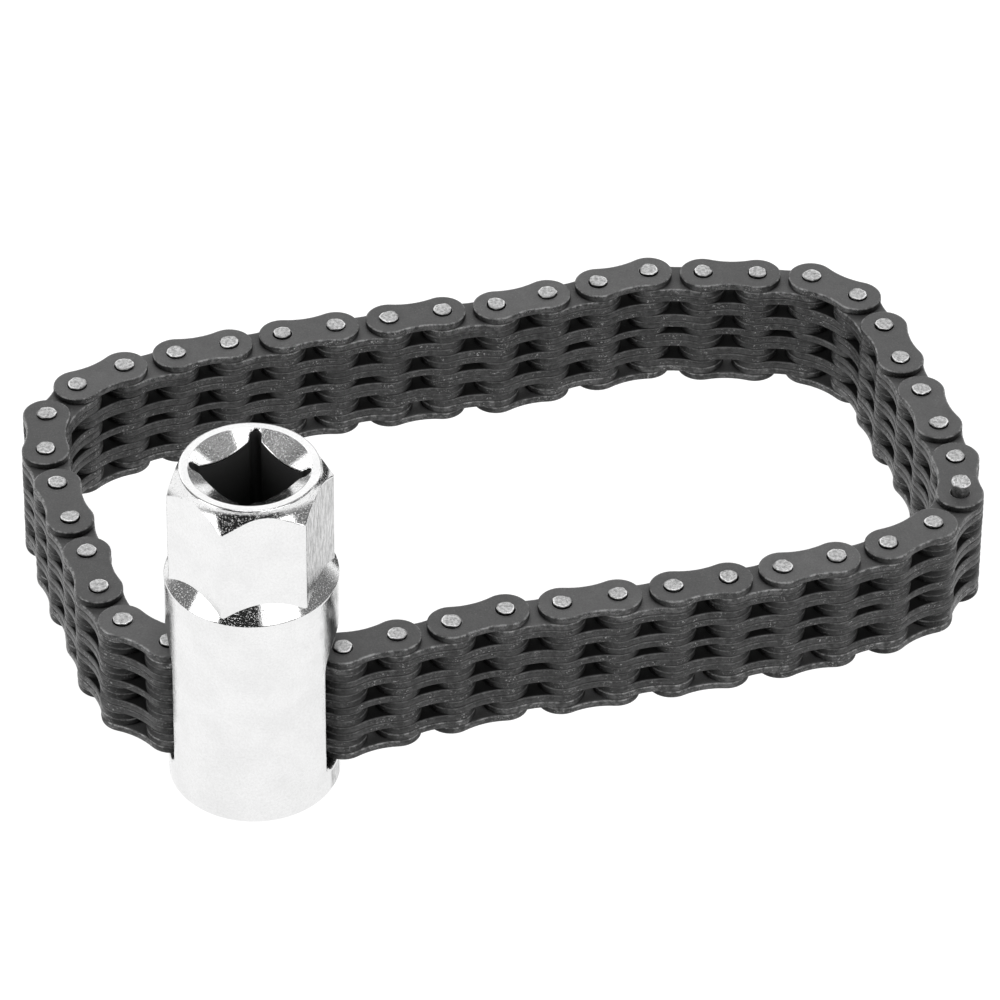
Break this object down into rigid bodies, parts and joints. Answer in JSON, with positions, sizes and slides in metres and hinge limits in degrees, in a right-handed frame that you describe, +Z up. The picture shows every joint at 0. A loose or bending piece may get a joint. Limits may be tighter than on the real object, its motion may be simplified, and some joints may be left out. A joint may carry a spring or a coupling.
{
  "type": "oil filter wrench",
  "caption": "Chain oil filter wrench: a chrome hex socket with a square drive and an endless leaf chain through its slot, closed by a loose connecting pin.",
  "frame": {"origin": "centre of the socket's flat base face", "axes": "+Z up the socket's axis to the square drive, X along the slot, with the chain loop on the +Y side"},
  "size_m": [0.1643, 0.1263, 0.0645],
  "materials": {
    "chrome_plate": "bright chrome plate over a lightly ground surface",
    "black_oxide_steel": "satin black oxide",
    "bright_steel": "bare steel, satin, with a peened upper end"
  },
  "bodies": {
    "socket": {"socket": "chrome_plate"},
    "outer_link_01": {"outer_link_01": "black_oxide_steel"},
    "inner_link_01": {"inner_link_01": "black_oxide_steel"},
    "outer_link_02": {"outer_link_02": "black_oxide_steel"},
    "inner_link_02": {"inner_link_02": "black_oxide_steel"},
    "outer_link_03": {"outer_link_03": "black_oxide_steel"},
    "inner_link_03": {"inner_link_03": "black_oxide_steel"},
    "outer_link_04": {"outer_link_04": "black_oxide_steel"},
    "inner_link_04": {"inner_link_04": "black_oxide_steel"},
    "outer_link_05": {"outer_link_05": "black_oxide_steel"},
    "inner_link_05": {"inner_link_05": "black_oxide_steel"},
    "outer_link_06": {"outer_link_06": "black_oxide_steel"},
    "inner_link_06": {"inner_link_06": "black_oxide_steel"},
    "outer_link_07": {"outer_link_07": "black_oxide_steel"},
    "inner_link_07": {"inner_link_07": "black_oxide_steel"},
    "outer_link_08": {"outer_link_08": "black_oxide_steel"},
    "inner_link_08": {"inner_link_08": "black_oxide_steel"},
    "outer_link_09": {"outer_link_09": "black_oxide_steel"},
    "inner_link_09": {"inner_link_09": "black_oxide_steel"},
    "outer_link_10": {"outer_link_10": "black_oxide_steel"},
    "inner_link_10": {"inner_link_10": "black_oxide_steel"},
    "outer_link_11": {"outer_link_11": "black_oxide_steel"},
    "inner_link_11": {"inner_link_11": "black_oxide_steel"},
    "outer_link_12": {"outer_link_12": "black_oxide_steel"},
    "inner_link_12": {"inner_link_12": "black_oxide_steel"},
    "outer_link_13": {"outer_link_13": "black_oxide_steel"},
    "inner_link_13": {"inner_link_13": "black_oxide_steel"},
    "outer_link_14": {"outer_link_14": "black_oxide_steel"},
    "inner_link_14": {"inner_link_14": "black_oxide_steel"},
    "outer_link_15": {"outer_link_15": "black_oxide_steel"},
    "inner_link_15": {"inner_link_15": "black_oxide_steel"},
    "outer_link_16": {"outer_link_16": "black_oxide_steel"},
    "inner_link_16": {"inner_link_16": "black_oxide_steel"},
    "outer_link_17": {"outer_link_17": "black_oxide_steel"},
    "inner_link_17": {"inner_link_17": "black_oxide_steel"},
    "outer_link_18": {"outer_link_18": "black_oxide_steel"},
    "inner_link_18": {"inner_link_18": "black_oxide_steel"},
    "outer_link_19": {"outer_link_19": "black_oxide_steel"},
    "inner_link_19": {"inner_link_19": "black_oxide_steel"},
    "outer_link_20": {"outer_link_20": "black_oxide_steel"},
    "inner_link_20": {"inner_link_20": "black_oxide_steel"},
    "outer_link_21": {"outer_link_21": "black_oxide_steel"},
    "inner_link_21": {"inner_link_21": "black_oxide_steel"},
    "outer_link_22": {"outer_link_22": "black_oxide_steel"},
    "inner_link_22": {"inner_link_22": "black_oxide_steel"},
    "connecting_pin": {"connecting_pin": "bright_steel"}
  },
  "joints": [
    {"name": "chain_lift", "type": "slide", "parent": "socket", "child": "outer_link_22", "axis": [0, 0, 1], "range_m": [0, 0.0012]},
    {"name": "pin_43_hinge", "type": "hinge", "parent": "outer_link_22", "child": "inner_link_22", "pos_m": [-0.00426, -0.00075, 0.01678], "axis": [0, 0, -1], "range_deg": [-1.44, 4.2]},
    {"name": "pin_00_hinge", "type": "hinge", "parent": "inner_link_22", "child": "outer_link_01", "pos_m": [-0.01378, -0.00058, 0.01678], "axis": [0, 0, -1], "range_deg": [-20.9, 7.04]},
    {"name": "pin_01_hinge", "type": "hinge", "parent": "outer_link_01", "child": "inner_link_01", "pos_m": [-0.02203, 0.00418, 0.01678], "axis": [0, 0, -1], "range_deg": [-20.9, 7.04]},
    {"name": "pin_02_hinge", "type": "hinge", "parent": "inner_link_01", "child": "outer_link_02", "pos_m": [-0.02693, 0.01234, 0.01678], "axis": [0, 0, -1], "range_deg": [-25.05, 25.05]},
    {"name": "pin_03_hinge", "type": "hinge", "parent": "outer_link_02", "child": "inner_link_02", "pos_m": [-0.03004, 0.02135, 0.01678], "axis": [0, 0, -1], "range_deg": [-4.46, 13.2]},
    {"name": "pin_04_hinge", "type": "hinge", "parent": "inner_link_02", "child": "outer_link_03", "pos_m": [-0.03391, 0.03005, 0.01678], "axis": [0, 0, -1], "range_deg": [-1.44, 4.2]},
    {"name": "pin_05_hinge", "type": "hinge", "parent": "outer_link_03", "child": "inner_link_03", "pos_m": [-0.03717, 0.039, 0.01678], "axis": [0, 0, -1], "range_deg": [-2.45, 7.2]},
    {"name": "pin_06_hinge", "type": "hinge", "parent": "inner_link_03", "child": "outer_link_04", "pos_m": [-0.04027, 0.04801, 0.01678], "axis": [0, 0, -1], "range_deg": [-4.9, 1.68]},
    {"name": "loop_rounding", "type": "hinge", "parent": "outer_link_04", "child": "inner_link_04", "pos_m": [-0.04126, 0.05748, 0.01678], "axis": [0, 0, -1], "range_deg": [-23.85, 8]},
    {"name": "pin_08_hinge", "type": "hinge", "parent": "inner_link_04", "child": "outer_link_05", "pos_m": [-0.03709, 0.06604, 0.01678], "axis": [0, 0, -1], "range_deg": [-16.9, 5.7]},
    {"name": "pin_09_hinge", "type": "hinge", "parent": "outer_link_05", "child": "inner_link_05", "pos_m": [-0.02969, 0.07204, 0.01678], "axis": [0, 0, -1], "range_deg": [-3.9, 1.34]},
    {"name": "loop_skew", "type": "hinge", "parent": "inner_link_05", "child": "outer_link_06", "pos_m": [-0.0212, 0.07636, 0.01678], "axis": [0, 0, -1], "range_deg": [-25, 25]},
    {"name": "pin_11_hinge", "type": "hinge", "parent": "outer_link_06", "child": "inner_link_06", "pos_m": [-0.01237, 0.07993, 0.01678], "axis": [0, 0, -1], "range_deg": [-2.45, 7.2]},
    {"name": "pin_12_hinge", "type": "hinge", "parent": "inner_link_06", "child": "outer_link_07", "pos_m": [-0.00348, 0.08334, 0.01678], "axis": [0, 0, -1], "range_deg": [-2.11, 6.2]},
    {"name": "pin_13_hinge", "type": "hinge", "parent": "outer_link_07", "child": "inner_link_07", "pos_m": [0.00553, 0.08644, 0.01678], "axis": [0, 0, -1], "range_deg": [-2.45, 7.2]},
    {"name": "pin_14_hinge", "type": "hinge", "parent": "inner_link_07", "child": "outer_link_08", "pos_m": [0.01459, 0.08939, 0.01678], "axis": [0, 0, -1], "range_deg": [-2.78, 8.2]},
    {"name": "pin_15_hinge", "type": "hinge", "parent": "outer_link_08", "child": "inner_link_08", "pos_m": [0.02365, 0.09233, 0.01678], "axis": [0, 0, -1], "range_deg": [-1.78, 5.2]},
    {"name": "pin_16_hinge", "type": "hinge", "parent": "inner_link_08", "child": "outer_link_09", "pos_m": [0.03285, 0.0948, 0.01678], "axis": [0, 0, -1], "range_deg": [-6.14, 18.2]},
    {"name": "pin_17_hinge", "type": "hinge", "parent": "outer_link_09", "child": "inner_link_09", "pos_m": [0.04148, 0.09882, 0.01678], "axis": [0, 0, -1], "range_deg": [-2.78, 8.2]},
    {"name": "pin_18_hinge", "type": "hinge", "parent": "inner_link_09", "child": "outer_link_10", "pos_m": [0.05011, 0.10285, 0.01678], "axis": [0, 0, -1], "range_deg": [-2.78, 8.2]},
    {"name": "pin_19_hinge", "type": "hinge", "parent": "outer_link_10", "child": "inner_link_10", "pos_m": [0.05875, 0.10687, 0.01678], "axis": [0, 0, -1], "range_deg": [-13.9, 4.7]},
    {"name": "pin_20_hinge", "type": "hinge", "parent": "inner_link_10", "child": "outer_link_11", "pos_m": [0.06826, 0.10737, 0.01678], "axis": [0, 0, -1], "range_deg": [-2.78, 8.2]},
    {"name": "pin_21_hinge", "type": "hinge", "parent": "outer_link_11", "child": "inner_link_11", "pos_m": [0.07777, 0.10787, 0.01678], "axis": [0, 0, -1], "range_deg": [-1.44, 4.2]},
    {"name": "pin_22_hinge", "type": "hinge", "parent": "inner_link_11", "child": "outer_link_12", "pos_m": [0.08729, 0.1077, 0.01678], "axis": [0, 0, -1], "range_deg": [-20.9, 7.04]},
    {"name": "pin_23_hinge", "type": "hinge", "parent": "outer_link_12", "child": "inner_link_12", "pos_m": [0.09554, 0.10294, 0.01678], "axis": [0, 0, -1], "range_deg": [-20.9, 7.04]},
    {"name": "pin_24_hinge", "type": "hinge", "parent": "inner_link_12", "child": "outer_link_13", "pos_m": [0.10045, 0.09478, 0.01678], "axis": [0, 0, -1], "range_deg": [-25.05, 25.05]},
    {"name": "pin_25_hinge", "type": "hinge", "parent": "outer_link_13", "child": "inner_link_13", "pos_m": [0.10355, 0.08577, 0.01678], "axis": [0, 0, -1], "range_deg": [-4.46, 13.2]},
    {"name": "pin_26_hinge", "type": "hinge", "parent": "inner_link_13", "child": "outer_link_14", "pos_m": [0.10742, 0.07707, 0.01678], "axis": [0, 0, -1], "range_deg": [-1.44, 4.2]},
    {"name": "pin_27_hinge", "type": "hinge", "parent": "outer_link_14", "child": "inner_link_14", "pos_m": [0.11068, 0.06812, 0.01678], "axis": [0, 0, -1], "range_deg": [-2.45, 7.2]},
    {"name": "pin_28_hinge", "type": "hinge", "parent": "inner_link_14", "child": "outer_link_15", "pos_m": [0.11378, 0.05911, 0.01678], "axis": [0, 0, -1], "range_deg": [-4.9, 1.68]},
    {"name": "pin_42_hinge", "type": "hinge", "parent": "outer_link_22", "child": "inner_link_21", "pos_m": [0.00526, -0.00025, 0.01678], "axis": [0, 0, 1], "range_deg": [-2.78, 8.2]},
    {"name": "pin_41_hinge", "type": "hinge", "parent": "inner_link_21", "child": "outer_link_21", "pos_m": [0.01477, 0.00025, 0.01678], "axis": [0, 0, 1], "range_deg": [-13.9, 4.7]},
    {"name": "pin_40_hinge", "type": "hinge", "parent": "outer_link_21", "child": "inner_link_20", "pos_m": [0.0234, 0.00427, 0.01678], "axis": [0, 0, 1], "range_deg": [-2.78, 8.2]},
    {"name": "pin_39_hinge", "type": "hinge", "parent": "inner_link_20", "child": "outer_link_20", "pos_m": [0.03203, 0.0083, 0.01678], "axis": [0, 0, 1], "range_deg": [-2.78, 8.2]},
    {"name": "pin_38_hinge", "type": "hinge", "parent": "outer_link_20", "child": "inner_link_19", "pos_m": [0.04067, 0.01232, 0.01678], "axis": [0, 0, 1], "range_deg": [-6.14, 18.2]},
    {"name": "pin_37_hinge", "type": "hinge", "parent": "inner_link_19", "child": "outer_link_19", "pos_m": [0.04987, 0.01479, 0.01678], "axis": [0, 0, 1], "range_deg": [-1.78, 5.2]},
    {"name": "pin_36_hinge", "type": "hinge", "parent": "outer_link_19", "child": "inner_link_18", "pos_m": [0.05892, 0.01773, 0.01678], "axis": [0, 0, 1], "range_deg": [-2.78, 8.2]},
    {"name": "pin_35_hinge", "type": "hinge", "parent": "inner_link_18", "child": "outer_link_18", "pos_m": [0.06798, 0.02068, 0.01678], "axis": [0, 0, 1], "range_deg": [-2.45, 7.2]},
    {"name": "pin_34_hinge", "type": "hinge", "parent": "outer_link_18", "child": "inner_link_17", "pos_m": [0.07699, 0.02378, 0.01678], "axis": [0, 0, 1], "range_deg": [-2.11, 6.2]},
    {"name": "pin_33_hinge", "type": "hinge", "parent": "inner_link_17", "child": "outer_link_17", "pos_m": [0.08588, 0.02719, 0.01678], "axis": [0, 0, 1], "range_deg": [-2.45, 7.2]},
    {"name": "pin_32_hinge", "type": "hinge", "parent": "outer_link_17", "child": "inner_link_16", "pos_m": [0.09471, 0.03076, 0.01678], "axis": [0, 0, 1], "range_deg": [-25.05, 25.05]},
    {"name": "pin_31_hinge", "type": "hinge", "parent": "inner_link_16", "child": "outer_link_16", "pos_m": [0.1032, 0.03508, 0.01678], "axis": [0, 0, 1], "range_deg": [-3.9, 1.34]},
    {"name": "pin_30_hinge", "type": "hinge", "parent": "outer_link_16", "child": "inner_link_15", "pos_m": [0.1106, 0.04108, 0.01678], "axis": [0, 0, 1], "range_deg": [-16.9, 5.7]},
    {"name": "connecting_pin_pull", "type": "slide", "parent": "outer_link_15", "child": "connecting_pin", "axis": [0, 0, 1], "range_m": [0, 0.024]}
  ],
  "couplings": [
    {"joint": "pin_43_hinge", "follows": "loop_rounding", "ratio": -0.174},
    {"joint": "pin_00_hinge", "follows": "loop_rounding", "ratio": 0.87421},
    {"joint": "pin_01_hinge", "follows": "loop_rounding", "ratio": 0.87421},
    {"joint": "pin_02_hinge", "follows": "loop_skew", "ratio": -1},
    {"joint": "pin_03_hinge", "follows": "loop_rounding", "ratio": -0.55136},
    {"joint": "pin_04_hinge", "follows": "loop_rounding", "ratio": -0.174},
    {"joint": "pin_05_hinge", "follows": "loop_rounding", "ratio": -0.29979},
    {"joint": "pin_06_hinge", "follows": "loop_rounding", "ratio": 0.20335},
    {"joint": "pin_08_hinge", "follows": "loop_rounding", "ratio": 0.7065},
    {"joint": "pin_09_hinge", "follows": "loop_rounding", "ratio": 0.16143},
    {"joint": "pin_11_hinge", "follows": "loop_rounding", "ratio": -0.29979},
    {"joint": "pin_12_hinge", "follows": "loop_rounding", "ratio": -0.25786},
    {"joint": "pin_13_hinge", "follows": "loop_rounding", "ratio": -0.29979},
    {"joint": "pin_14_hinge", "follows": "loop_rounding", "ratio": -0.34172},
    {"joint": "pin_15_hinge", "follows": "loop_rounding", "ratio": -0.21593},
    {"joint": "pin_16_hinge", "follows": "loop_rounding", "ratio": -0.76101},
    {"joint": "pin_17_hinge", "follows": "loop_rounding", "ratio": -0.34172},
    {"joint": "pin_18_hinge", "follows": "loop_rounding", "ratio": -0.34172},
    {"joint": "pin_19_hinge", "follows": "loop_rounding", "ratio": 0.58071},
    {"joint": "pin_20_hinge", "follows": "loop_rounding", "ratio": -0.34172},
    {"joint": "pin_21_hinge", "follows": "loop_rounding", "ratio": -0.174},
    {"joint": "pin_22_hinge", "follows": "loop_rounding", "ratio": 0.87421},
    {"joint": "pin_23_hinge", "follows": "loop_rounding", "ratio": 0.87421},
    {"joint": "pin_24_hinge", "follows": "loop_skew", "ratio": -1},
    {"joint": "pin_25_hinge", "follows": "loop_rounding", "ratio": -0.55136},
    {"joint": "pin_26_hinge", "follows": "loop_rounding", "ratio": -0.174},
    {"joint": "pin_27_hinge", "follows": "loop_rounding", "ratio": -0.29979},
    {"joint": "pin_28_hinge", "follows": "loop_rounding", "ratio": 0.20335},
    {"joint": "pin_42_hinge", "follows": "loop_rounding", "ratio": -0.34172},
    {"joint": "pin_41_hinge", "follows": "loop_rounding", "ratio": 0.58071},
    {"joint": "pin_40_hinge", "follows": "loop_rounding", "ratio": -0.34172},
    {"joint": "pin_39_hinge", "follows": "loop_rounding", "ratio": -0.34172},
    {"joint": "pin_38_hinge", "follows": "loop_rounding", "ratio": -0.76101},
    {"joint": "pin_37_hinge", "follows": "loop_rounding", "ratio": -0.21593},
    {"joint": "pin_36_hinge", "follows": "loop_rounding", "ratio": -0.34172},
    {"joint": "pin_35_hinge", "follows": "loop_rounding", "ratio": -0.29979},
    {"joint": "pin_34_hinge", "follows": "loop_rounding", "ratio": -0.25786},
    {"joint": "pin_33_hinge", "follows": "loop_rounding", "ratio": -0.29979},
    {"joint": "pin_32_hinge", "follows": "loop_skew", "ratio": 1},
    {"joint": "pin_31_hinge", "follows": "loop_rounding", "ratio": 0.16143},
    {"joint": "pin_30_hinge", "follows": "loop_rounding", "ratio": 0.7065}
  ]
}
